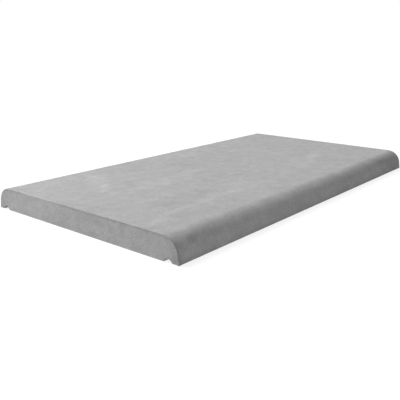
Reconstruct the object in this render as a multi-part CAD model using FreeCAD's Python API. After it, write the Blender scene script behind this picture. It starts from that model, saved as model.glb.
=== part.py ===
import FreeCAD, Part
import math
import os

# A flat coping for a fence wall: one slab of cast concrete that covers the wall's top and sheds the rain.
# It has the same section all along, with a rounded nose on both long edges and a drip groove under each.
# Length runs along X, width along Y and height along Z. The origin is the middle of the underside.
# Lengths are in millimetres and angles in degrees.

# The slab, with its width taken between the sharp corners that the feet are rounded from
slab_length = 1000.0
slab_width = 550.0
slab_thickness = 50.0

# The long edges: a side that leans inward so that the cast leaves its mould, then a nose up to the flat top
side_draft = 8.0
nose_radius = 37.0

# The drip grooves, which stop rain from running back along the underside to the wall
groove_setback = 26.0
groove_width = 20.0
groove_depth = 7.0

# Small roundings from the mould and handling: each side's foot, a groove's two lips, the ends all round
foot_radius = 1.5
mouth_radius = 2.0
arris_radius = 1.0

half_length = slab_length / 2
half_width = slab_width / 2
groove_centre = half_width - groove_setback
inner_mouth = groove_centre - groove_width / 2
outer_mouth = groove_centre + groove_width / 2

# Two places nearer than this are one place
same_place = 1e-4


def at(y, z):
    """A point of the section, in the plane of the first end."""
    return FreeCAD.Vector(-half_length, y, z)


def line(start, end):
    return Part.LineSegment(at(*start), at(*end)).toShape()


def arc(start, middle, end):
    return Part.Arc(at(*start), at(*middle), at(*end)).toShape()


def nose_point(angle):
    """A point on the nose, where the angle is 0 straight outward and 90 straight up."""
    draft = math.radians(side_draft)
    turn = math.radians(angle)
    centre_z = slab_thickness - nose_radius
    centre_y = half_width - centre_z * math.tan(draft) - nose_radius / math.cos(draft)
    return centre_y + nose_radius * math.cos(turn), centre_z + nose_radius * math.sin(turn)


def long_edge(side):
    """The section's lines at one long edge, from the bed out to the foot and up round the nose."""
    inner, ceiling, outer = (inner_mouth, 0), (groove_centre, groove_depth), (outer_mouth, 0)
    foot = (half_width, 0)
    nose_start = nose_point(side_draft)
    nose_middle = nose_point((side_draft + 90) / 2)
    nose_end = nose_point(90)

    def on_side(point):
        return side * point[0], point[1]

    return [
        arc(on_side(inner), on_side(ceiling), on_side(outer)),
        line(on_side(outer), on_side(foot)),
        line(on_side(foot), on_side(nose_start)),
        arc(on_side(nose_start), on_side(nose_middle), on_side(nose_end)),
    ]


def section():
    """The slab's cross section: the two long edges, joined by the bed below and the flat top above."""
    top_edge, top_height = nose_point(90)
    edges = [
        line((-inner_mouth, 0), (inner_mouth, 0)),
        line((-top_edge, top_height), (top_edge, top_height)),
    ]
    for side in (-1, 1):
        edges.extend(long_edge(side))
    return Part.Face(Part.Wire(Part.sortEdges(edges)[0]))


def underside_edges(slab, distances):
    """The slab's edges along its length on the underside, at these distances from its middle line."""
    return [
        edge
        for edge in slab.Edges
        if edge.BoundBox.ZMax < same_place
        and edge.BoundBox.XLength > same_place
        and any(abs(abs(edge.BoundBox.YMax) - distance) < same_place for distance in distances)
    ]


def end_edges(slab):
    """The slab's edges all round both end faces, which are the edges that take up no length."""
    return [edge for edge in slab.Edges if edge.BoundBox.XLength < same_place]


def coping_slab():
    slab = section().extrude(FreeCAD.Vector(slab_length, 0, 0))
    slab = slab.makeFillet(foot_radius, underside_edges(slab, [half_width]))
    slab = slab.makeFillet(mouth_radius, underside_edges(slab, [inner_mouth, outer_mouth]))
    return slab.makeFillet(arris_radius, end_edges(slab))


os.makedirs("parts", exist_ok=True)
slab = coping_slab()
slab.exportStep("parts/coping_slab.step")
print("solids:", len(slab.Solids), "faces:", len(slab.Faces), "litres:", round(slab.Volume / 1e6, 3))
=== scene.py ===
# %% [markdown]
# # A coping slab for a fence wall
#
# A coping lies along the top of a wall and sheds the rain. This one is a single slab of cast concrete: flat
# on top, with a rounded nose down both long edges and a drip groove under each. The concrete is vibrated
# into a mould with the slab's top face down, so that face and the noses are as smooth as the mould. The
# underside is the open face, struck off level with a board while the concrete is wet.
#
# The lesson makes the slab's mesh with Geometry Nodes, because its shape follows a rule: one section,
# carried along a straight line, with worn edges and small holes. The finish is built from shader node
# groups.

# %% Load the frame
import math

import bpy
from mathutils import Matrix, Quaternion, Vector


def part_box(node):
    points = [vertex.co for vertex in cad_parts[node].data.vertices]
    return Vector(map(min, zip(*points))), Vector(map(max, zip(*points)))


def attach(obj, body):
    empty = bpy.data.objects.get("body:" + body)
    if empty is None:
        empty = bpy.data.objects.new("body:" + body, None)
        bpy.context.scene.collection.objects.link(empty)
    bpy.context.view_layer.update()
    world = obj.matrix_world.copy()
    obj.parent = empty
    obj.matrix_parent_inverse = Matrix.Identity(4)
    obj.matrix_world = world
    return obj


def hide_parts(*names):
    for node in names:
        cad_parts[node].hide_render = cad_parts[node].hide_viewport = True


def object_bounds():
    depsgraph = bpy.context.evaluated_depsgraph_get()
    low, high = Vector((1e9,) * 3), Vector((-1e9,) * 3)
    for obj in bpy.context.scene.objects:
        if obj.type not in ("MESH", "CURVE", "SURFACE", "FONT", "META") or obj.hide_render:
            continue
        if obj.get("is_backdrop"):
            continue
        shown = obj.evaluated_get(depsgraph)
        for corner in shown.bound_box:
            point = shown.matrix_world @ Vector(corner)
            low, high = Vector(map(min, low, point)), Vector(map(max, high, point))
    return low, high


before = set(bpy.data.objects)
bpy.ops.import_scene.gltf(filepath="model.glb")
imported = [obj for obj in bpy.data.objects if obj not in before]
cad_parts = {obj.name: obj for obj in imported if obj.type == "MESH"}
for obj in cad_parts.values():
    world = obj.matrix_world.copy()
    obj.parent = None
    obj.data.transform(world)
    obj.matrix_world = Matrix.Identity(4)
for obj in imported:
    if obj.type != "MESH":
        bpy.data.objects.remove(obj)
cad_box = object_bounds()
low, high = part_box("coping_slab")
print("slab, in metres:", [round(far - near, 4) for near, far in zip(low, high)])

# %% [markdown]
# ## The camera
#
# The camera looks along the slab from a little above its left end. Its place, its three turns and its lens
# were worked out from the slab's straight edges, whose real lengths are known, so the perspective is the
# same as a real lens gives from there. The turns are a heading, a dip below the horizon and a slight roll.

# %% Set up the camera
camera_place = Vector((-1.1745, -0.8784, 0.3786))
camera_heading = math.radians(39.57)
camera_dip = math.radians(16.02)
camera_roll = math.radians(0.17)
camera_lens = 51.165


def way_ahead(heading, dip):
    """The direction of a look that turns by heading from +X towards +Y and dips below the horizon."""
    level = math.cos(dip)
    return Vector((math.cos(heading) * level, math.sin(heading) * level, -math.sin(dip)))


def new_object(name, data):
    """Puts a new object into the scene, which shows this mesh, lamp or camera."""
    made = bpy.data.objects.new(name, data)
    bpy.context.scene.collection.objects.link(made)
    return made


camera = new_object("camera", bpy.data.cameras.new("camera"))
camera.data.lens = camera_lens
camera.location = camera_place
camera.rotation_mode = "QUATERNION"
aim = way_ahead(camera_heading, camera_dip).to_track_quat("-Z", "Y")
camera.rotation_quaternion = aim @ Quaternion((0, 0, 1), camera_roll)
bpy.context.scene.camera = camera
print("camera stands", round(camera_place.length, 2), "m from the slab's middle")

# %% [markdown]
# ## A shorthand for sums
#
# A shape or a finish that follows a rule is a sum, and a sum takes many Math nodes. Placing each of them by
# name would bury the rule, so the script writes the sum as a sum. A Flow is what comes out of a socket, and
# adding or multiplying two of them puts the Math node between them.


# %% Write sums as nodes
def feed(tree, socket, value):
    """Gives an input socket a plain value, or joins it to what flows out of another node."""
    if isinstance(value, Flow):
        tree.links.new(value.socket, socket)
    else:
        socket.default_value = value


def math_method(operation, turned=False):
    """A method that joins a flow and other values with one Math node. Turned puts the flow last."""

    def method(self, *others):
        values = (*others, self) if turned else (self, *others)
        return self.math(operation, *values)

    return method


class Flow:
    """What comes out of one node's socket, ready for a sum. Below and above give 1 if they hold, else 0."""

    def __init__(self, tree, socket):
        self.tree = tree
        self.socket = socket

    def math(self, operation, *values):
        """A Math node that works on these values, which may be numbers or other flows."""
        made = self.tree.nodes.new("ShaderNodeMath")
        made.operation = operation
        for socket, value in zip(made.inputs, values):
            feed(self.tree, socket, value)
        return Flow(self.tree, made.outputs[0])

    __add__ = math_method("ADD")
    __sub__ = math_method("SUBTRACT")
    __rsub__ = math_method("SUBTRACT", turned=True)
    __mul__ = math_method("MULTIPLY")
    __truediv__ = math_method("DIVIDE")
    __rtruediv__ = math_method("DIVIDE", turned=True)
    power = math_method("POWER")
    absolute = math_method("ABSOLUTE")
    sign = math_method("SIGN")
    sine = math_method("SINE")
    cosine = math_method("COSINE")
    tangent = math_method("TANGENT")
    least = math_method("MINIMUM")
    most = math_method("MAXIMUM")
    below = math_method("LESS_THAN")
    above = math_method("GREATER_THAN")

    def root(self):
        """The square root, which is 0 where this is below 0."""
        return self.math("SQRT", self.most(0.0))


trial = bpy.data.node_groups.new("trial", "ShaderNodeTree")
start = Flow(trial, trial.nodes.new("ShaderNodeValue").outputs[0])
total = (start + 1.0) * start
print("a sum took", len(trial.nodes) - 1, "Math nodes, the last of them", total.socket.node.operation)
bpy.data.node_groups.remove(trial)

# %% [markdown]
# ## A tree that is drawn in code
#
# A Sheet is one node tree, with a helper for each node that comes up again and again: a ramp, a mix, a
# vector and its parts, a noise, a number that is kept on the mesh, and a node group with named sockets. The
# same helpers draw the geometry and the shaders, because both kinds of tree share their Math, Map Range,
# Mix and Noise nodes.


# %% Draw a tree
class Sheet:
    """A node tree that is drawn in code."""

    def __init__(self, tree):
        self.tree = tree

    def node(self, kind, feeds=None, **options):
        """Adds a node, sets its options and feeds its inputs, which are named or numbered."""
        made = self.tree.nodes.new(kind)
        for option, value in options.items():
            setattr(made, option, value)
        for socket, value in (feeds or {}).items():
            feed(self.tree, made.inputs[socket], value)
        return made

    def flow(self, kind, feeds=None, output=0, **options):
        """Adds a node and gives what flows out of one of its outputs."""
        return Flow(self.tree, self.node(kind, feeds, **options).outputs[output])

    def ramp(self, value, start, end, low=0.0, high=1.0, smooth=False):
        """Goes from low to high while value goes from start to end, and stays level outside that."""
        feeds = {"Value": value, "From Min": start, "From Max": end, "To Min": low, "To Max": high}
        kind = "SMOOTHSTEP" if smooth else "LINEAR"
        return self.flow("ShaderNodeMapRange", feeds, interpolation_type=kind)

    def mix(self, share, first, second):
        """The first number where share is 0 and the second where it is 1."""
        return self.flow("ShaderNodeMix", {"Factor": share, "A": first, "B": second}, data_type="FLOAT")

    def vector(self, x, y, z):
        return self.flow("ShaderNodeCombineXYZ", {"X": x, "Y": y, "Z": z})

    def parts(self, vector):
        """The three numbers of a vector."""
        made = self.node("ShaderNodeSeparateXYZ", {"Vector": vector})
        return [Flow(self.tree, socket) for socket in made.outputs]

    def vectors(self, operation, first, second):
        """A sum of two vectors. Scale takes a number as its second."""
        where = "Scale" if operation == "SCALE" else 1
        return self.flow("ShaderNodeVectorMath", {0: first, where: second}, operation=operation)

    def noise(self, place, scale, detail=2.0, roughness=0.5):
        """A cloudy pattern from 0 to 1, about a mean of 0.5, with its lumps about 1 / scale across."""
        feeds = {"Vector": place, "Scale": scale, "Detail": detail, "Roughness": roughness}
        return self.flow("ShaderNodeTexNoise", feeds)

    def fact(self, name):
        """A number that was stored on the mesh under this name, read by a geometry tree."""
        return self.flow("GeometryNodeInputNamedAttribute", {"Name": name}, data_type="FLOAT")

    def group(self, group, feeds):
        """Adds a shader node group and gives what flows out of it, by the names of its outputs."""
        made = self.node("ShaderNodeGroup", node_tree=group)
        for name, value in feeds.items():
            feed(self.tree, made.inputs[name], value)
        return {socket.name: Flow(self.tree, socket) for socket in made.outputs}


socket_kinds = {float: "NodeSocketFloat", int: "NodeSocketInt", Vector: "NodeSocketVector"}


def group_sheet(name, inputs, results, kind="ShaderNodeTree", result_kind="NodeSocketFloat"):
    """A new node group with its inputs named, each with its first value, and its results named. Gives its
    sheet, what flows in by name, and a function that gives out a result by name."""
    tree = bpy.data.node_groups.new(name, kind)
    for socket_name, value in inputs.items():
        socket_kind = socket_kinds[type(value)]
        made = tree.interface.new_socket(socket_name, in_out="INPUT", socket_type=socket_kind)
        made.default_value = value
    for socket_name in results:
        tree.interface.new_socket(socket_name, in_out="OUTPUT", socket_type=result_kind)
    entry = tree.nodes.new("NodeGroupInput")
    leave = tree.nodes.new("NodeGroupOutput")

    def give(name, value):
        feed(tree, leave.inputs[name], value)

    return Sheet(tree), {socket.name: Flow(tree, socket) for socket in entry.outputs}, give


print("a sheet can draw:", ", ".join(name for name in vars(Sheet) if not name.startswith("_")))

# %% [markdown]
# ## The slab's sizes
#
# The mould fixes the section. Each side leans inward by a few degrees, so that the cast slab slides out,
# and then turns into the nose, which runs smoothly into the flat top. The drip groove is a round bar
# pressed into the wet underside, a little in from the edge, with its two lips rubbed round. The length and
# the thickness are read from the frame. The other sizes are those of the solid model, in metres.

# %% Name the sizes
slab_sizes = {
    "Length": high.x - low.x,
    "Width": 0.550,
    "Thickness": high.z - low.z,
    "Draft": math.radians(8),
    "Nose Radius": 0.037,
    "Groove Setback": 0.026,
    "Groove Width": 0.020,
    "Groove Depth": 0.007,
    "Foot Radius": 0.0015,
    "Mouth Radius": 0.0020,
    "Arris Radius": 0.0010,
}
print("width between the feet's sharp corners:", slab_sizes["Width"], "m")

# %% [markdown]
# ## A grid that fits the section
#
# The mesh starts as a box of small squares, and every point of it is then moved to its place on the slab.
# Squares are dear, so they go where the shape turns: around each end's edge, over the nose and into the
# grooves. The lists say how many rows each stretch gets. Across the underside they are the flat bed, the
# groove's inner lip, the groove, its outer lip and the drip lip. On top the same rows are the flat and the
# upper part of the nose. Up the side they are the foot's rounding, the straight side and the lower part of
# the nose.

# %% Share out the rows
rows_along = 170
arris_rows = 4
bed_rows = [66, 3, 12, 3, 6]
top_rows = [66, 24]
side_rows = [6, 5, 10]
nose_split = math.radians(40)


def walk(sheet, share, rows, lengths):
    """How far a walk has come once a share of all its rows is done. Each length has its count of rows."""
    walked = 0.0
    passed = 0
    for count, length in zip(rows, lengths):
        start = passed / sum(rows)
        passed += count
        walked = sheet.ramp(share, start, passed / sum(rows), 0.0, length) + walked
    return walked


triangles = 4 * (rows_along * (2 * sum(bed_rows) + sum(side_rows)) + 2 * sum(bed_rows) * sum(side_rows))
print("triangles in the plain grid:", triangles)

# %% [markdown]
# ## The section as a rule
#
# Every rounding of the section is part of a circle, and the nose and the foot both touch the leaning side.
# So the section is worked out from circles and not from a list of points. It has a second use: where the
# ends are rounded, the section shrinks. Each convex circle then loses that much of its radius, the groove's
# circle gains it, and no centre moves. One rule gives the whole body and its rounded ends.


# %% Work out the section
def touching_centre(size, height, radius):
    """How far out a circle at this height lies if it touches the leaning side from within."""
    lean = size["Draft"].tangent()
    return size["Width"] * 0.5 - lean * height - radius / size["Draft"].cosine()


def foot_centre(size):
    """How far out the foot's circle lies."""
    return touching_centre(size, size["Foot Radius"], size["Foot Radius"])


def nose_centre(size):
    """How far out and how high the nose's circle lies."""
    height = size["Thickness"] - size["Nose Radius"]
    return touching_centre(size, height, size["Nose Radius"]), height


def under_curve(sheet, size, share, shrink):
    """The underside, from the middle out to the foot: how far out and how high."""
    half = size["Groove Width"] * 0.5
    depth = size["Groove Depth"]
    mouth = size["Mouth Radius"]
    groove = (half * half + depth * depth) / (depth * 2.0)
    drop = groove - depth
    centre = size["Width"] * 0.5 - size["Groove Setback"]
    reach = groove + mouth
    lip_end = (reach * reach - (drop + mouth) * (drop + mouth)).root()
    lip_start = lip_end * groove / reach
    lip_width = lip_end - lip_start
    drip_lip = foot_centre(size) - centre - lip_end
    lengths = [centre - lip_end, lip_width, lip_start * 2.0, lip_width, drip_lip]
    out = walk(sheet, share, bed_rows, lengths)
    away = (out - centre).absolute()
    inside = groove + shrink
    round_groove = (inside * inside - away * away).root() - drop
    lip = mouth - shrink
    round_lip = mouth - (lip * lip - (lip_end - away) * (lip_end - away)).root()
    height = sheet.mix(away.below(lip_end), shrink, round_lip)
    height = sheet.mix(away.below(lip_end * inside / reach), height, round_groove)
    return out, height


def top_curve(sheet, size, share, shrink):
    """The flat top and the upper nose, from the middle out."""
    centre_y, centre_z = nose_centre(size)
    radius = size["Nose Radius"] - shrink
    turn = math.pi / 2 - walk(sheet, share, top_rows, [0.0, math.pi / 2 - nose_split])
    out = walk(sheet, share, top_rows, [centre_y, 0.0])
    return out + radius * turn.cosine(), centre_z + radius * turn.sine()


def side_curve(sheet, size, share, shrink):
    """The foot, the leaning side and the lower nose, from the bed up."""
    centre_y, centre_z = nose_centre(size)
    climb = walk(sheet, share, side_rows, [0.0, 1.0, 0.0])
    foot_turn = size["Draft"] + math.pi / 2
    turn = walk(sheet, share, side_rows, [foot_turn, 0.0, nose_split - size["Draft"]]) - math.pi / 2
    radius = sheet.mix(climb, size["Foot Radius"], size["Nose Radius"]) - shrink
    out = sheet.mix(climb, foot_centre(size), centre_y) + radius * turn.cosine()
    return out, sheet.mix(climb, size["Foot Radius"], centre_z) + radius * turn.sine()


nose_line = slab_sizes["Thickness"] - slab_sizes["Nose Radius"]
print("each nose turns about a line", round(nose_line * 1000, 1), "mm above the underside")

# %% [markdown]
# ## From the box to the slab
#
# A point of the box knows three shares: how far along, how far across and how far up it is. The last rows
# along turn a quarter circle, which rounds the end's edge, called the arris. Between the underside and the
# top, a point's place is blended by its height, and the side's own bulge fades towards the middle. That
# fills both end faces with even rows without a seam. A real arris is never quite straight: the mould's
# corner fills unevenly and handling rubs it, so its radius wanders with a slow noise. Along the struck
# underside it stays small, because the lips and the feet there are small themselves and a larger rounding
# would eat them up.

# %% Say how worn the arris is
wear = {
    "wander per metre": 42.0,
    "least": 0.55,
    "range": 0.95,
    "struck edge": 0.0006,
    "full height": 0.5,
    "most": 0.004,
}
kept_rounding = 0.9
bulge_fade = 16


def arris_radius(sheet, size, along, across, up):
    """The radius that rounds the end's edge, which wanders round the end."""
    end = along.sign() * size["Length"]
    place = sheet.vector(end, across * size["Width"] * 0.5, up * size["Thickness"])
    wander = sheet.noise(place, wear["wander per metre"], detail=3.0)
    radius = size["Arris Radius"] * (wander * wear["range"] + wear["least"])
    past_foot = side_rows[0] / sum(side_rows)
    limit = sheet.ramp(up, past_foot, wear["full height"], wear["struck edge"], wear["most"])
    return radius.least(limit)


def small_radius(size):
    """Nearly all of the smaller rounding on the underside, which no worn edge may eat up."""
    return size["Mouth Radius"].least(size["Foot Radius"]) * kept_rounding


def slab_places(sheet, size, place):
    """Where each point of the box goes, and how far past the arris it lies, inward on the end face."""
    along, across, up = sheet.parts(place)
    radius = arris_radius(sheet, size, along, across, up)
    half_rows = [rows_along / 2 - arris_rows, arris_rows]
    half_length = size["Length"] * 0.5
    turn = walk(sheet, along.absolute(), half_rows, [0.0, math.pi / 2])
    x = walk(sheet, along.absolute(), half_rows, [half_length - radius, 0.0]) + radius * turn.sine()
    shrink = radius - radius * turn.cosine()

    outward = across.absolute()
    under_y, under_z = under_curve(sheet, size, outward, shrink.least(small_radius(size)))
    top_y, top_z = top_curve(sheet, size, outward, shrink)
    side_y, side_z = side_curve(sheet, size, up, shrink)
    rim_y, rim_z = top_curve(sheet, size, 1.0, shrink)
    height = (side_z - shrink) / (rim_z - shrink)
    bulge = side_y - sheet.mix(height, foot_centre(size), rim_y)
    y = sheet.mix(height, under_y, top_y) + bulge * outward.power(bulge_fade)
    z = sheet.mix(height, under_z, top_z)
    inward = (top_z - z).least(z - under_z).least(side_y - y)
    past_arris = inward - (half_length - x)
    return sheet.vector(x * along.sign(), y * across.sign(), z), past_arris


arris_least = slab_sizes["Arris Radius"] * wear["least"]
arris_most = arris_least + slab_sizes["Arris Radius"] * wear["range"]
print("arris radius within", round(arris_least * 1000, 2), "and", round(arris_most * 1000, 2), "mm")

# %% [markdown]
# ## Uneven faces
#
# A cast face looks flat, yet light shows that it isn't quite: the mould bows a little, and the struck
# underside keeps the low ripples of the board that was drawn across it. Points move only into the slab, so
# that it stays as large as the solid model and still lies flat on its highest points.

# %% Say how uneven the faces are
cast_bow = {"scale": 9.0, "depth": 0.00022}
struck_ripple = {
    "along": 14.0,
    "across": 55.0,
    "depth": 0.0006,
    "top": 0.0008,
    "end": 0.0005,
    "full": 0.006,
}


def uneven_offset(sheet, size):
    """How each point moves into the slab. The ripple dies out in the grooves and just before the ends."""
    place = sheet.flow("GeometryNodeInputPosition")
    normal = sheet.flow("GeometryNodeInputNormal")
    x, y, z = sheet.parts(place)
    bow = sheet.noise(place, cast_bow["scale"], detail=3.0) * cast_bow["depth"]
    drawn = sheet.vector(x * struck_ripple["along"], y * struck_ripple["across"], z)
    ripple = sheet.noise(drawn, 1.0, detail=4.0, roughness=0.6) * struck_ripple["depth"]
    on_bed = sheet.ramp(z, 0.0, struck_ripple["top"], 1.0, 0.0, smooth=True)
    from_end = size["Length"] * 0.5 - x.absolute()
    off_end = sheet.ramp(from_end, struck_ripple["end"], struck_ripple["full"], smooth=True)
    depth = sheet.mix(on_bed * off_end, bow, ripple)
    return sheet.vectors("SCALE", normal, depth * -1.0)


print("bow at most", cast_bow["depth"], "m, ripple at most", struck_ripple["depth"], "m")

# %% [markdown]
# ## Bug holes and chips
#
# Air that is trapped against the mould leaves small round holes, called bug holes. They are few on the face
# that lay at the mould's bottom and more on the sides, where bubbles rise and cling. Chips are what the
# arris loses when slabs are stacked. Both are real hollows, so they are cut out of the mesh and not
# painted. A lumpy ball is placed many times over, with seeded sizes and turns, and one Boolean node takes
# all of them away. Three larger chips are placed one by one at the near corner: on the nose, on the top
# edge beside it, and under the end of the drip lip.

# %% Say how many holes and chips there are
holes = {"top": 22.0, "sides": 150.0, "underside": 45.0, "least": 0.0005, "range": 0.0011, "seed": 7}
chips = {"density": 9000.0, "band": 0.0009, "least": 0.0008, "range": 0.0020, "lift": 0.5, "seed": 21}
placed_chips = [
    {"place": (-0.5006, -0.2620, 0.0450), "reach": (0.0016, 0.0040, 0.0030)},
    {"place": (-0.5006, -0.2420, 0.0500), "reach": (0.0018, 0.0050, 0.0016)},
    {"place": (-0.5010, -0.2660, -0.0008), "reach": (0.0060, 0.0070, 0.0023)},
]
float_output = 1  # by number, because a random value's outputs share one name
ball_lumps = 1.3
mostly_small = 3.0
squash = (0.7, 1.3)
any_turn = (0.0, math.tau)


def lumpy_ball(sheet):
    """A ball of one metre radius with its surface pushed in and out. It is made small where it is used."""
    ball = sheet.flow("GeometryNodeMeshIcoSphere", {"Radius": 1.0, "Subdivisions": 2})
    place = sheet.flow("GeometryNodeInputPosition")
    push = sheet.noise(place, ball_lumps) - 0.5
    feeds = {"Geometry": ball, "Offset": sheet.vectors("SCALE", place, push)}
    return sheet.flow("GeometryNodeSetPosition", feeds)


def drawn_vector(sheet, least, most, seed):
    """Three numbers, each drawn at random between least and most."""
    feeds = {"Min": (least, least, least), "Max": (most, most, most), "Seed": seed}
    return sheet.flow("FunctionNodeRandomValue", feeds, data_type="FLOAT_VECTOR")


def scatter(sheet, mesh, density, ball, settings, seed, lift=0.0):
    """Places the ball at random over the mesh, with many small ones to each large one."""
    feeds = {"Mesh": mesh, "Density": density, "Seed": seed}
    points = sheet.node("GeometryNodeDistributePointsOnFaces", feeds)
    normal = Flow(sheet.tree, points.outputs["Normal"])
    feeds = {"Seed": seed}
    chance = sheet.flow("FunctionNodeRandomValue", feeds, output=float_output, data_type="FLOAT")
    reach = chance.power(mostly_small) * settings["range"] + settings["least"]
    offset = sheet.vectors("SCALE", normal, reach * lift)
    feeds = {"Geometry": Flow(sheet.tree, points.outputs["Points"]), "Offset": offset}
    lifted = sheet.flow("GeometryNodeSetPosition", feeds)
    turn = drawn_vector(sheet, *any_turn, seed)
    scale = sheet.vectors("SCALE", drawn_vector(sheet, *squash, seed), reach)
    feeds = {"Points": lifted, "Instance": ball, "Rotation": turn, "Scale": scale}
    return sheet.flow("GeometryNodeInstanceOnPoints", feeds)


top_area = slab_sizes["Length"] * slab_sizes["Width"]
print("bug holes to expect on top:", round(holes["top"] * top_area))

# %% [markdown]
# ## The whole tree
#
# The tree builds the box, moves its points, makes the faces uneven, cuts the holes and chips, and marks
# which edges stay crisp. It keeps two facts on the mesh: how far a point lies past the arris, which the
# finish reads too, and whether it belongs to the struck underside. It ends by giving each face its
# material, so the two materials are made first, still blank.


# %% Draw the tree
slab_inputs = {**slab_sizes, "Seed": holes["seed"]}
box_size = (2.0, 2.0, 1.0)
bottom_row = 0.001
points_up = 0.97
points_down = -0.9
wholly_struck = 0.9
crisp_bend = math.radians(38)


def keep_fact(sheet, mesh, name, value):
    """Stores a number on every point of the mesh, under a name that later nodes and the finish can read."""
    feeds = {"Geometry": mesh, "Name": name, "Value": value}
    return sheet.flow("GeometryNodeStoreNamedAttribute", feeds, data_type="FLOAT", domain="POINT")


def slab_tree(cast, struck):
    """The whole rule as one tree, which gives the slab's faces these two materials."""
    kinds = ("GeometryNodeTree", "NodeSocketGeometry")
    sheet, size, give = group_sheet("coping_slab_rule", slab_inputs, ["Slab"], *kinds)

    feeds = {
        "Size": box_size,
        "Vertices X": rows_along + 1,
        "Vertices Y": 2 * sum(bed_rows) + 1,
        "Vertices Z": sum(side_rows) + 1,
    }
    box = sheet.flow("GeometryNodeMeshCube", feeds)
    onto_floor = (0.0, 0.0, box_size[2] / 2)
    lifted = sheet.vectors("ADD", sheet.flow("GeometryNodeInputPosition"), onto_floor)
    places, past_arris = slab_places(sheet, size, lifted)
    on_bottom = sheet.parts(lifted)[2].below(bottom_row)
    marked = keep_fact(sheet, box, "past_arris", past_arris)
    marked = keep_fact(sheet, marked, "struck_share", on_bottom)
    plain = sheet.flow("GeometryNodeSetMaterial", {"Geometry": marked, "Material": cast})
    shaped = sheet.flow("GeometryNodeSetPosition", {"Geometry": plain, "Position": places})
    feeds = {"Geometry": shaped, "Offset": uneven_offset(sheet, size)}
    cast_mesh = sheet.flow("GeometryNodeSetPosition", feeds)

    up = sheet.parts(sheet.flow("GeometryNodeInputNormal"))[2]
    density = sheet.mix(up.below(points_up), holes["top"], holes["sides"])
    density = sheet.mix(up.below(points_down), density, holes["underside"])
    on_arris = sheet.fact("past_arris").absolute().below(chips["band"]) * chips["density"]
    ball = sheet.flow("GeometryNodeSetMaterial", {"Geometry": lumpy_ball(sheet), "Material": cast})
    bug_holes = scatter(sheet, cast_mesh, density, ball, holes, size["Seed"])
    chip_seed = size["Seed"] + chips["seed"]
    broken = scatter(sheet, cast_mesh, on_arris, ball, chips, chip_seed, lift=chips["lift"])
    cutters = [bug_holes, broken]
    for chip in placed_chips:
        feeds = {"Geometry": ball, "Translation": chip["place"], "Scale": chip["reach"]}
        cutters.append(sheet.flow("GeometryNodeTransform", feeds))
    way = {"operation": "DIFFERENCE", "solver": "MANIFOLD"}
    cut = sheet.node("GeometryNodeMeshBoolean", {"Mesh 1": cast_mesh}, **way)
    for cutter in cutters:
        feed(sheet.tree, cut.inputs["Mesh 2"], cutter)

    whole_cut = Flow(sheet.tree, cut.outputs["Mesh"])
    smooth = sheet.flow("GeometryNodeSetShadeSmooth", {"Geometry": whole_cut})
    sharp = sheet.flow("GeometryNodeInputMeshEdgeAngle").above(crisp_bend)
    feeds = {"Geometry": smooth, "Selection": sharp, "Shade Smooth": False}
    crisp = sheet.flow("GeometryNodeSetShadeSmooth", feeds, domain="EDGE")
    whole = sheet.flow("GeometryNodeRealizeInstances", {"Geometry": crisp})
    is_struck = 1.0 - sheet.fact("struck_share").below(wholly_struck)
    feeds = {"Geometry": whole, "Selection": is_struck, "Material": struck}
    give("Slab", sheet.flow("GeometryNodeSetMaterial", feeds))
    return sheet.tree


cast_concrete = bpy.data.materials.new("cast_concrete")
struck_concrete = bpy.data.materials.new("struck_concrete")
slab_rule = slab_tree(cast_concrete, struck_concrete)
print("the slab's tree has", len(slab_rule.nodes), "nodes")

# %% [markdown]
# ## From the tree to a plain mesh
#
# A finished piece has to be a plain mesh, so the tree runs once. An empty object gets it as a modifier, its
# inputs are set from the named sizes, and the mesh that comes out is kept on an object of its own. A
# modifier knows its inputs by their identifiers and not by their names, so each is looked up first.


# %% Run the tree and keep its mesh
def make_slab(tree):
    blank = new_object("coping_slab_blank", bpy.data.meshes.new("coping_slab_blank"))
    modifier = blank.modifiers.new("slab", "NODES")
    modifier.node_group = tree
    for socket in tree.interface.items_tree:
        if socket.item_type == "SOCKET" and socket.in_out == "INPUT":
            modifier[socket.identifier] = slab_inputs[socket.name]
    evaluated = blank.evaluated_get(bpy.context.evaluated_depsgraph_get())
    mesh = bpy.data.meshes.new_from_object(evaluated)
    blank.modifiers.clear()
    bpy.data.objects.remove(blank)
    mesh.name = "cast_slab"
    mesh.materials.pop(index=0)  # the empty slot that a box made by a node starts with
    return new_object("cast_slab", mesh)


slab = make_slab(slab_rule)
slab.data.calc_loop_triangles()
print("slab triangles:", len(slab.data.loop_triangles), "points:", len(slab.data.vertices))

# %% [markdown]
# ## What makes concrete look like concrete
#
# Cast concrete is one grey all through, but never one tone. The cement clouds over where water gathered in
# the mould, fine streaks follow the way the mix flowed, and sand shows through as grain. Each effect is its
# own node group, with its strength and its scale as inputs, so that the smooth faces and the rough
# underside can share it. A shade of 1 leaves the grey alone, and 0.9 darkens it by a tenth. The clouds come
# first: noise in three sizes, one of them stretched along the slab.

# %% Cloud the cement
streak_stretch = (0.12, 1.0, 1.0)


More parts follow.
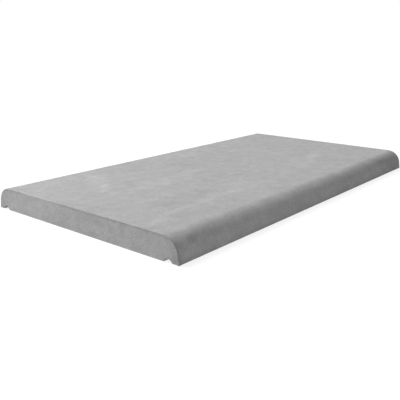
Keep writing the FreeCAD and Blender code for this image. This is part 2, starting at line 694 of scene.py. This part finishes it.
def cement_clouds_group():
    """Soft clouds of many sizes, and fine streaks along the slab."""
    inputs = {
        "Place": Vector(),
        "Cloud Scale": 7.0,
        "Cloud Contrast": 0.26,
        "Mottle Scale": 36.0,
        "Mottle Contrast": 0.76,
        "Streak Scale": 60.0,
        "Streak Contrast": 0.10,
    }
    sheet, fed, give = group_sheet("cement_clouds", inputs, ["Shade"])
    clouds = sheet.noise(fed["Place"], fed["Cloud Scale"], detail=8.0, roughness=0.72) - 0.5
    drawn_out = sheet.vectors("MULTIPLY", fed["Place"], streak_stretch)
    streaks = sheet.noise(drawn_out, fed["Streak Scale"], detail=3.0, roughness=0.6) - 0.5
    mottle = sheet.noise(fed["Place"], fed["Mottle Scale"], detail=8.0, roughness=0.78) - 0.5
    shade = clouds * fed["Cloud Contrast"] + mottle * fed["Mottle Contrast"]
    shade = shade + streaks * fed["Streak Contrast"] + 1.0
    give("Shade", shade)
    return sheet.tree


cement_clouds = cement_clouds_group()
print("made", cement_clouds.name)

# %% [markdown]
# ## Sand
#
# Sand makes concrete speckled: pale grains stand a little proud, with darker paste between them. A cell
# pattern would look like pebbles, so one fine noise with rough detail makes the tone and the relief alike.
# The palest places are then the highest too.


# %% Scatter the sand
def sand_grain_group():
    """The tone and the height of the sand grains. Grain size and relief are in metres."""
    inputs = {
        "Place": Vector(),
        "Grain Size": 0.0023,
        "Contrast": 1.0,
        "Relief": 0.00012,
    }
    sheet, fed, give = group_sheet("sand_grain", inputs, ["Shade", "Height"])
    fineness = 1.0 / fed["Grain Size"]
    grain = sheet.noise(fed["Place"], fineness, detail=4.0, roughness=0.7)
    give("Shade", (grain - 0.5) * fed["Contrast"] + 1.0)
    give("Height", grain * fed["Relief"])
    return sheet.tree


sand_grain = sand_grain_group()
print("made", sand_grain.name)

# %% [markdown]
# ## Pin holes
#
# The last air leaves pits that are too small to cut out of the mesh. A Voronoi pattern puts one centre in
# each cell, and a chance read from the cell's colour, raised to a power, makes most pits tiny and a few
# large enough to see. The finish darkens each open pit as painted shade inside it, and its height sinks the
# pit into the bump.

# %% Prick the pin holes
pit_floor = 0.6


def pin_holes_group():
    """Tiny round pits, at most one to a cell, most of them far smaller than the largest."""
    inputs = {
        "Place": Vector(),
        "Spacing": 0.016,
        "Largest": 0.0011,
        "Depth": 0.0006,
    }
    sheet, fed, give = group_sheet("pin_holes", inputs, ["Open", "Height"])
    closeness = 1.0 / fed["Spacing"]
    cells = sheet.node("ShaderNodeTexVoronoi", {"Vector": fed["Place"], "Scale": closeness})
    away = Flow(sheet.tree, cells.outputs["Distance"]) * fed["Spacing"]
    chance = sheet.flow("ShaderNodeSeparateColor", {"Color": Flow(sheet.tree, cells.outputs["Color"])})
    reach = chance.power(mostly_small) * fed["Largest"]
    opened = sheet.ramp(away / reach, pit_floor, 1.0, 1.0, 0.0, smooth=True)
    give("Open", opened)
    give("Height", opened * fed["Depth"] * -1.0)
    return sheet.tree


pin_holes = pin_holes_group()
print("made", pin_holes.name)

# %% [markdown]
# ## The darker arris band
#
# The finish darkens a band along the arris. The mesh already knows how far each point lies past it, so the
# finish reads that number from the mesh. The band's width wanders, some stretches are darkened less than
# others, and on the upright arrises the band lies nearly all on the nose.

# %% Darken the arris band
arris_band = {
    "fine wander": 90.0,
    "least reach": 0.3,
    "reach range": 1.4,
    "slow wander": 9.0,
    "slow range": (0.35, 0.60),
    "darkened least": 0.35,
    "upright least": 0.8,
    "turn height": 0.006,
}


def dark_arris_group():
    """How much a place is darkened, from 0 to 1, by how far it lies past the arris, which is upright low
    down.
    """
    inputs = {
        "Place": Vector(),
        "Before": 0.0025,
        "Past": 0.0055,
        "Upright Before": 0.009,
        "Upright Past": 0.001,
        "Upright Height": 0.044,
    }
    sheet, fed, give = group_sheet("dark_arris", inputs, ["Worn"])
    past = sheet.flow("ShaderNodeAttribute", output="Fac", attribute_name="past_arris")
    height = sheet.parts(fed["Place"])[2]
    upright = sheet.ramp(height, fed["Upright Height"], fed["Upright Height"] - arris_band["turn height"])
    wander = sheet.noise(fed["Place"], arris_band["fine wander"], detail=4.0, roughness=0.65)
    spread = wander * arris_band["reach range"] + arris_band["least reach"]
    before = sheet.mix(upright, fed["Before"], fed["Upright Before"]) * -1.0
    beyond = sheet.mix(upright, fed["Past"], fed["Upright Past"])
    near_side = sheet.ramp(past / spread, before, 0.0, smooth=True)
    end_side = sheet.ramp(past / spread, 0.0, beyond, 1.0, 0.0, smooth=True)
    slow = sheet.noise(fed["Place"], arris_band["slow wander"])
    strength = sheet.ramp(slow, *arris_band["slow range"], arris_band["darkened least"], 1.0, smooth=True)
    strength = strength.most(upright * arris_band["upright least"])
    give("Worn", near_side * end_side * strength)
    return sheet.tree


dark_arris = dark_arris_group()
print("made", dark_arris.name)

# %% [markdown]
# ## A soft patch
#
# Damp and lime leave patches without a hard edge. Each is an ellipsoid that fades out with the distance
# from its centre, counted in reaches. A noise first pushes each place about, so that the outline turns
# ragged, and crispness makes the fade narrower.

# %% Shape a soft patch
soft_fade = (0.2, 1.2)
crisp_fade = (0.8, 1.05)


def soft_patch_group():
    """A cloud that changes the tone at one place. Wander says how far its outline is pushed about."""
    inputs = {
        "Place": Vector(),
        "Push": Vector(),
        "Centre": Vector(),
        "Reach": Vector(),
        "Turn": 0.0,
        "Wander": 0.06,
        "Crispness": 0.0,
        "Change": 0.0,
    }
    sheet, fed, give = group_sheet("soft_patch", inputs, ["Shade"])
    offset = sheet.vectors("SUBTRACT", fed["Place"], fed["Centre"])
    offset = sheet.vectors("ADD", offset, sheet.vectors("SCALE", fed["Push"], fed["Wander"]))
    feeds = {"Vector": offset, "Angle": fed["Turn"] * -1.0}
    turned = sheet.flow("ShaderNodeVectorRotate", feeds, rotation_type="Z_AXIS")
    scaled = sheet.vectors("DIVIDE", turned, fed["Reach"])
    away = sheet.flow("ShaderNodeVectorMath", {"Vector": scaled}, output="Value", operation="LENGTH")
    inside, outside = (sheet.mix(fed["Crispness"], *ends) for ends in zip(soft_fade, crisp_fade))
    share = sheet.ramp(away, inside, outside, 1.0, 0.0, smooth=True)
    give("Shade", share * fed["Change"])
    return sheet.tree


soft_patch = soft_patch_group()
print("made", soft_patch.name)

# %% [markdown]
# ## The patches of this slab
#
# Most of the clouding is random, but some of it is this slab's own: pale lime bloom near the left end, damp
# patches beside it, pale streaks where the mix was drawn along the mould, and a darker foot under the left
# end. Other patches are painted light and shade: pale and dark patches on the near nose stand in for how
# the light falls over its turn, a pale band along the near side's foot is painted light from the floor, a
# dark patch at the far end of the near side is painted shade, and the grooves' mouths are lightened with
# painted light. A row says where a patch lies and how far it reaches, in metres, then how much it changes
# the tone and how far its outline wanders.

# %% Place the patches
top_depth = 0.03
push_noise = {"Scale": 22.0, "Detail": 5.0}


def patch(at, reach, change, wander=0.06, turn=0.0, crisp=0.0):
    """One patch's inputs. A patch on top needs only two numbers for its place and for its reach."""
    if len(at) == 2:
        at, reach = (*at, slab_sizes["Thickness"]), (*reach, top_depth)
    return {
        "Centre": at,
        "Reach": reach,
        "Change": change,
        "Wander": wander,
        "Turn": math.radians(turn),
        "Crispness": crisp,
    }


patches = {
    "left bloom": patch((-0.405, 0.16), (0.12, 0.15), 0.035, 0.03, crisp=0.5),
    "bloom rim": patch((-0.308, 0.165), (0.105, 0.028), 0.085, 0.02, turn=68, crisp=0.3),
    "bloom core": patch((-0.345, 0.185), (0.06, 0.03), 0.045, 0.04),
    "bloom hook": patch((-0.352, 0.08), (0.045, 0.016), 0.05, 0.03, turn=45),
    "bloom gap": patch((-0.412, 0.08), (0.022, 0.035), -0.04, 0.04),
    "middle bloom": patch((-0.265, 0.02), (0.11, 0.024), 0.065, 0.03, turn=6),
    "bloom spot": patch((-0.225, -0.002), (0.045, 0.018), 0.065, 0.03),
    "bloom tail": patch((-0.13, 0.034), (0.1, 0.018), 0.08, 0.03, crisp=0.4),
    "left pale band": patch((-0.43, 0.035), (0.08, 0.025), 0.03),
    "left pale spot": patch((-0.425, -0.052), (0.035, 0.02), 0.04),
    "near streak": patch((-0.29, -0.158), (0.16, 0.012), 0.095, 0.02, crisp=0.4),
    "near streak's foot": patch((-0.45, -0.182), (0.045, 0.018), 0.05, turn=25),
    "near streak's end": patch((-0.18, -0.172), (0.07, 0.016), 0.05, 0.03),
    "near bloom": patch((-0.15, -0.135), (0.08, 0.04), 0.055, 0.04),
    "near bloom's tail": patch((-0.06, -0.165), (0.095, 0.02), 0.05, turn=6),
    "right streak": patch((0.17, -0.136), (0.085, 0.016), 0.06, 0.03, turn=8),
    "right streak's end": patch((0.29, -0.101), (0.09, 0.018), 0.085, 0.03, turn=12),
    "far bloom": patch((0.03, 0.18), (0.05, 0.045), 0.05),
    "far right streak": patch((0.3, 0.128), (0.07, 0.014), 0.05, 0.03, turn=25),
    "far short streak": patch((0.2, 0.12), (0.045, 0.012), 0.04, 0.03, turn=25),
    "far bright spot": patch((0.115, 0.205), (0.035, 0.018), 0.05, turn=30),
    "centre bloom": patch((0.06, 0.02), (0.06, 0.035), 0.03),
    "damp patch": patch((-0.01, 0.11), (0.11, 0.06), -0.05, 0.04, crisp=0.4),
    "far damp patch": patch((0.12, 0.125), (0.06, 0.05), -0.04),
    "left damp spot": patch((-0.225, 0.095), (0.05, 0.035), -0.03),
    "damp line": patch((-0.3, 0.06), (0.05, 0.012), -0.04, turn=30),
    "left damp patch": patch((-0.312, -0.112), (0.105, 0.036), -0.06, 0.03, crisp=0.5),
    "near edge damp": patch((-0.33, -0.205), (0.14, 0.03), -0.03),
    "left end damp": patch((-0.48, -0.03), (0.07, 0.045), -0.025),
    "middle damp": patch((-0.02, -0.08), (0.13, 0.025), -0.025, turn=6),
    "right damp spot": patch((0.2, -0.065), (0.055, 0.018), -0.045, 0.03, turn=8),
    "centre damp spot": patch((0.165, 0.03), (0.05, 0.025), -0.04),
    "near damp spot": patch((0.035, -0.208), (0.06, 0.018), -0.04, turn=25),
    # the top is made darker towards the far end
    "darker far end": patch((0.49, 0.14), (0.045, 0.13), -0.06),
    "pale end": patch((-0.5, 0.18, 0.02), (0.015, 0.13, 0.028), 0.09, 0.01, crisp=0.5),
    "pale end top": patch((-0.5, 0.11, 0.04), (0.01, 0.15, 0.0125), 0.055, 0.01),
    # the end face is made darker along its foot and towards the near corner
    "darker end foot": patch((-0.5, -0.02, 0.004), (0.02, 0.6, 0.014), -0.055, 0.01),
    "darker near end": patch((-0.5, -0.17, 0.028), (0.01, 0.11, 0.022), -0.035, 0.01),
    "dark lip end": patch((-0.5, -0.268, 0.006), (0.012, 0.014, 0.012), -0.16, 0.005),
    "dark nose spot": patch((-0.5, -0.251, 0.043), (0.008, 0.01, 0.008), -0.1, 0.005),
    "pale far arris": patch((-0.5, 0.15, 0.05), (0.007, 0.11, 0.006), 0.13, 0, crisp=0.5),
    # the arris band is made darker along these two stretches
    "darker middle arris": patch((-0.5, 0.022, 0.049), (0.006, 0.05, 0.005), -0.09, 0.005),
    "darker near arris": patch((-0.5, -0.112, 0.049), (0.006, 0.045, 0.005), -0.09, 0.005),
    "stained corner": patch((-0.5, -0.27, 0.02), (0.03, 0.03, 0.05), -0.13, 0.03),
    # painted shade and painted light on the near nose: these patches stand in for how the light falls over
    # its turn
    "left nose, painted shade": patch((-0.4, -0.262, 0.042), (0.05, 0.018, 0.016), -0.11),
    "nose corner, painted shade": patch((-0.455, -0.264, 0.036), (0.018, 0.012, 0.012), -0.2, 0.01),
    "long nose band, painted light": patch((-0.05, -0.263, 0.039), (0.45, 0.014, 0.011), 0.07, 0.02),
    "left nose, painted light": patch((-0.195, -0.262, 0.043), (0.045, 0.012, 0.012), 0.06, 0.02),
    "pale nose": patch((-0.11, -0.255, 0.046), (0.07, 0.018, 0.014), 0.11, 0.02),
    "pale nose middle": patch((0.155, -0.25, 0.048), (0.05, 0.012, 0.012), 0.11, 0.02),
    "right nose, painted shade": patch((0.37, -0.262, 0.042), (0.06, 0.014, 0.016), -0.13, 0.02),
    # painted shade: the far end of the near side is darkened where the light falls off
    "far side end, painted shade": patch((0.48, -0.273, 0.028), (0.13, 0.05, 0.026), -0.17),
    # painted light on the nose's shoulder, where it turns from the top
    "pale shoulder": patch((0.06, -0.24, 0.0495), (0.23, 0.014, 0.006), 0.055, 0.01),
    # painted light: a pale band along the near side's foot stands in for light from the floor
    "pale foot, painted floor light": patch((0.0, -0.275, 0.002), (1.5, 0.014, 0.015), 0.095, 0.01),
    # painted light on the nose's far end
    "pale nose end": patch((0.455, -0.243, 0.049), (0.045, 0.014, 0.012), 0.04, 0.02),
    # painted light: the grooves' mouths are lightened where their walls lie in shade
    "near groove, painted light": patch((-0.468, -0.249, 0.005), (0.03, 0.01, 0.008), 0.6, 0, crisp=1),
    "far groove, painted light": patch((-0.468, 0.249, 0.005), (0.03, 0.01, 0.008), 0.6, 0, crisp=1),
}


def placed_patches(sheet, place):
    """All the patches of the slab added up, with their outlines pushed about."""
    cloud = sheet.flow("ShaderNodeTexNoise", {"Vector": place, **push_noise}, output="Color")
    push = sheet.vectors("SUBTRACT", cloud, (0.5, 0.5, 0.5))
    total = 1.0
    for inputs in patches.values():
        feeds = {"Place": place, "Push": push, **inputs}
        total = sheet.group(soft_patch, feeds)["Shade"] + total
    return total


print("patches:", len(patches))

# %% [markdown]
# ## The two finishes
#
# The top, the noses and the ends are cast against the mould, so they are smooth, with a fine grain that
# shows a little more on the upright faces, where less cement paste settles. The underside is struck off
# with a board, so it is rougher and a little darker. Both are the same grey concrete, and matte: a damp,
# darker place is also a little smoother than a dry one. The groups start out with the cast finish's
# numbers, and the struck finish puts in its own.

# %% Mix the finishes
finishes = {
    "cast": {
        "material": cast_concrete,
        "grey": 0.435,
        "roughness": 0.86,
        "grain on top": 0.85,
        "grain elsewhere": 1.10,
        "arris shade": -0.20,
    },
    "struck": {
        "material": struck_concrete,
        "grey": 0.40,
        "roughness": 0.95,
        "grain on top": 0.80,
        "grain elsewhere": 0.80,
        "clouds": {
            "Cloud Scale": 9.0,
            "Cloud Contrast": 0.45,
            "Mottle Scale": 40.0,
            "Mottle Contrast": 0.55,
            "Streak Scale": 30.0,
            "Streak Contrast": 0.16,
        },
        "sand": {"Grain Size": 0.0022, "Relief": 0.00045},
        "holes": {"Spacing": 0.010, "Largest": 0.0016, "Depth": 0.0010},
        "arris": {"Before": 0.003, "Past": 0.003},
        "arris shade": -0.12,
    },
}
# how much darker an open pin hole is made: painted shade inside it
pit_painted_shade = -0.45
damp_smoothness = 0.5
top_band = (0.0495, 0.0400)
shine = 0.3
relief_strength = 0.8


def finish_concrete(finish):
    """Joins the groups in the material: one shade from all of them, and one height for the relief."""
    material = finish["material"]
    material.use_nodes = True
    sheet = Sheet(material.node_tree)
    shader = material.node_tree.nodes["Principled BSDF"]
    place = sheet.flow("ShaderNodeTexCoord", output="Object")
    height = sheet.parts(place)[2]
    on_top, elsewhere = finish["grain on top"], finish["grain elsewhere"]
    contrast = sheet.ramp(height, *top_band, on_top, elsewhere)
    clouds = sheet.group(cement_clouds, {"Place": place, **finish.get("clouds", {})})["Shade"]
    sand = sheet.group(sand_grain, {"Place": place, "Contrast": contrast, **finish.get("sand", {})})
    pits = sheet.group(pin_holes, {"Place": place, **finish.get("holes", {})})
    arris_darkness = sheet.group(dark_arris, {"Place": place, **finish.get("arris", {})})["Worn"]
    shade = clouds * sand["Shade"] * placed_patches(sheet, place)
    # open pin holes darken the tone here as painted shade inside them
    shade = shade * (pits["Open"] * pit_painted_shade + 1.0) * (arris_darkness * finish["arris shade"] + 1.0)
    grey = shade * finish["grey"]
    tone = sheet.flow("ShaderNodeCombineColor", {"Red": grey, "Green": grey, "Blue": grey})
    feed(sheet.tree, shader.inputs["Base Color"], tone)
    feed(sheet.tree, shader.inputs["Roughness"], (clouds - 1.0) * damp_smoothness + finish["roughness"])
    shader.inputs["Specular IOR Level"].default_value = shine
    feeds = {"Height": sand["Height"] + pits["Height"], "Distance": 1.0, "Strength": relief_strength}
    feed(sheet.tree, shader.inputs["Normal"], sheet.flow("ShaderNodeBump", feeds))


for name, finish in finishes.items():
    finish_concrete(finish)
    print(name, "finish: grey", finish["grey"], "nodes", len(finish["material"].node_tree.nodes))

# %% [markdown]
# ## A white floor
#
# The slab lies on a plain white floor. A floor that is lit until it is white would throw too much light up
# under the slab, so the floor has two answers. To the camera it shows a white glow with a little of the
# real shading over it, which keeps the slab's shadow. To the rays that light the slab it is matt paint.

# %% Lay the floor
floor_drop = 0.0003
floor_reach = 8.0
glow_fade = (0.7, 2.5)
glow_levels = (0.82, 1.0)
paint_grey = 0.8
shown_grey = 0.25


def seen_plainly(sheet):
    """1 for rays that come from the camera, straight or by way of a mirror or glass, and else 0."""
    light = sheet.node("ShaderNodeLightPath").outputs
    names = ("Is Camera Ray", "Is Glossy Ray", "Is Transmission Ray")
    straight, mirrored, through = (Flow(sheet.tree, light[name]) for name in names)
    return straight.most(mirrored).most(through)


def matt_paint(sheet, grey):
    return sheet.flow("ShaderNodeBsdfDiffuse", {"Color": (grey, grey, grey, 1.0)})


def white_floor_material():
    """Matt white paint that glows white to the camera, evenly but for a softer glow round the slab."""
    material = bpy.data.materials.new("studio_floor")
    material.use_nodes = True
    sheet = Sheet(material.node_tree)
    sheet.tree.nodes.clear()
    place = sheet.flow("ShaderNodeTexCoord", output="Object")
    away = sheet.flow("ShaderNodeVectorMath", {"Vector": place}, output="Value", operation="LENGTH")
    glow = sheet.ramp(away, *glow_fade, *glow_levels, smooth=True)
    paint, shown = matt_paint(sheet, paint_grey), matt_paint(sheet, shown_grey)
    white = sheet.flow("ShaderNodeEmission", {"Strength": glow})
    lit = sheet.flow("ShaderNodeAddShader", {0: shown, 1: white})
    surface = sheet.flow("ShaderNodeMixShader", {0: seen_plainly(sheet), 1: paint, 2: lit})
    sheet.node("ShaderNodeOutputMaterial", {"Surface": surface})
    return material


corners = [(-1, -1), (1, -1), (1, 1), (-1, 1)]
floor_points = [(x * floor_reach, y * floor_reach, -floor_drop) for x, y in corners]
floor_mesh = bpy.data.meshes.new("studio_floor")
floor_mesh.from_pydata(floor_points, [], [(0, 1, 2, 3)])
floor = new_object("studio_floor", floor_mesh)
floor.data.materials.append(white_floor_material())
floor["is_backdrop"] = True
print("floor:", 2 * floor_reach, "m square")

# %% [markdown]
# ## Three soft lamps
#
# Large square lamps give soft shade, as a window does. A strong one at the far left leaves the near side in
# shade, a weak one hangs overhead, and a weak one low in front shapes the near edge. A matt white face that
# looks at a lamp gets as bright as the lamp's power over pi squared and over the distance squared, so each
# lamp is given the brightness that it should make, and its power is worked out from where it hangs.

# %% Hang the lamps
lamps = [
    {"name": "key_lamp", "place": (-1.95, 4.40, 5.70), "size": 3.6, "level": 1.0},
    {"name": "overhead_lamp", "place": (-0.60, 0.30, 7.00), "size": 4.0, "level": 0.08},
    {"name": "fill_lamp", "place": (-2.00, -1.90, 1.20), "size": 1.6, "level": 0.14},
]


def soft_lamp(name, place, size, level):
    """A square lamp that faces the slab. Its level is how bright it makes a white face there."""
    lamp = bpy.data.lights.new(name, "AREA")
    lamp.size = size
    away = Vector(place).length
    lamp.energy = level * math.pi ** 2 * away ** 2
    holder = new_object(name, lamp)
    holder.location = place
    holder.rotation_mode = "QUATERNION"
    holder.rotation_quaternion = (-Vector(place)).to_track_quat("-Z", "Y")
    holder.visible_camera = False
    return holder


for lamp in lamps:
    made = soft_lamp(**lamp)
    print(lamp["name"], round(made.data.energy), "W,", round(made.location.length, 1), "m away")

# %% [markdown]
# ## The white room
#
# A dim glow from all round fills the shade. As with the floor, it is white to look at and dim as a lamp.
# The colours are shown as they are, with no film look over them.

# %% Fill the room with dim light
room_level = 0.104
shown_level = 1.0

world = bpy.data.worlds.new("studio_air")
bpy.context.scene.world = world
world.use_nodes = True
air = Sheet(world.node_tree)
air.tree.nodes.clear()
strength = air.mix(seen_plainly(air), room_level, shown_level)
backdrop = air.flow("ShaderNodeBackground", {"Strength": strength, "Color": (1.0, 1.0, 1.0, 1.0)})
air.node("ShaderNodeOutputWorld", {"Surface": backdrop})
bpy.context.scene.view_settings.view_transform = "Standard"
print("room light:", room_level, "shown as", shown_level)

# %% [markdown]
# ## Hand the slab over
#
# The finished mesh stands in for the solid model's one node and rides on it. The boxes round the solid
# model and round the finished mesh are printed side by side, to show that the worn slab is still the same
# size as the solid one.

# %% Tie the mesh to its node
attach(slab, "root")
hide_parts("coping_slab")
made_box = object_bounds()
boxes = {"cad": [list(corner) for corner in cad_box], "visual": [list(corner) for corner in made_box]}
for name, box in boxes.items():
    print(name, "box:", [[round(place, 4) for place in corner] for corner in box])
